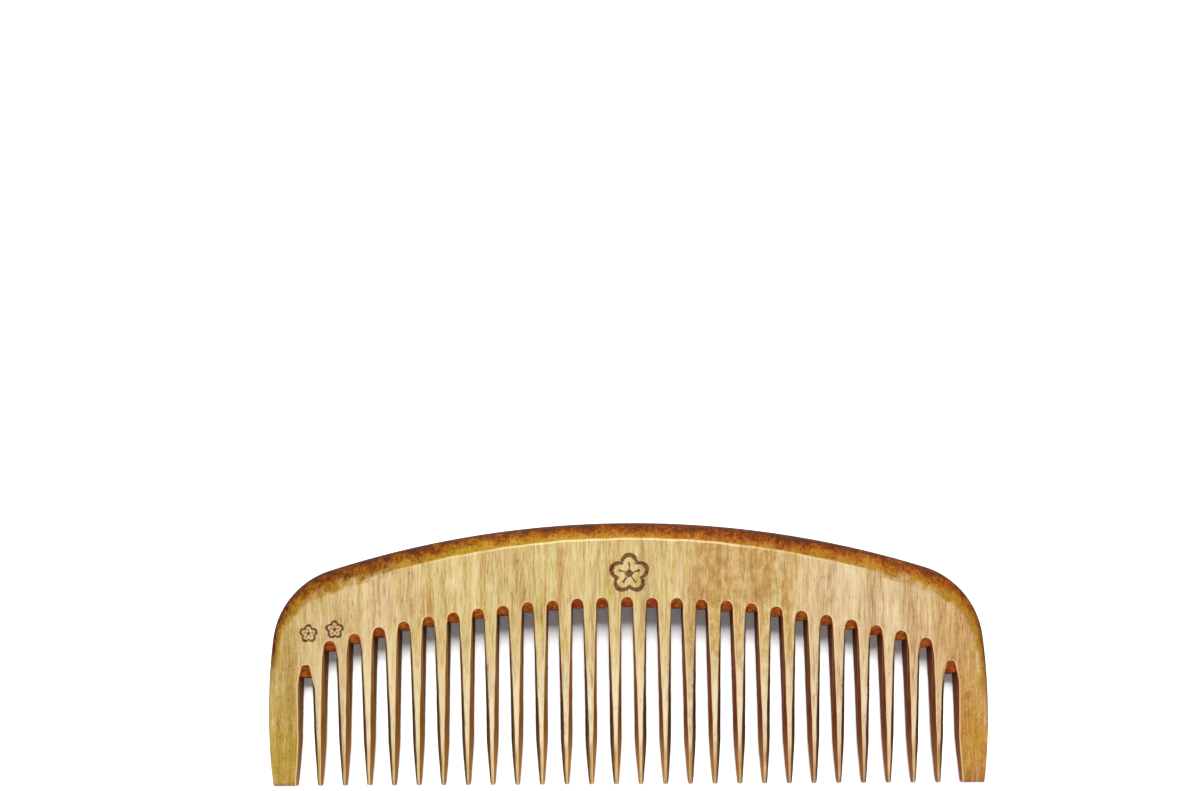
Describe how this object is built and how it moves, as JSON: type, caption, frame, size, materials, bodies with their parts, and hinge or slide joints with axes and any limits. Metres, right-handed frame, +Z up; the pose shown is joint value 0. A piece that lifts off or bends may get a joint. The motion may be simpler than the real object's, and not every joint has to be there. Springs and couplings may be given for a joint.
{
  "type": "kushi comb",
  "caption": "Wide-toothed wooden hair comb with an arched, rounded back and bevelled teeth, sawn and filed from solid wood and lying on its rear face.",
  "frame": {"origin": "on the surface that the comb lies on, under the middle of its bounding box", "axes": "+X along the comb's length, +Y towards its arched back with the teeth pointing along -Y, +Z up out of its front face"},
  "size_m": [0.1498, 0.054, 0.0086],
  "materials": {
    "wood": "pale, dense comb wood, scraped and oiled to a satin, with brown filed edges and gaps"
  },
  "bodies": {
    "root": {"comb": "wood"}
  },
  "joints": []
}
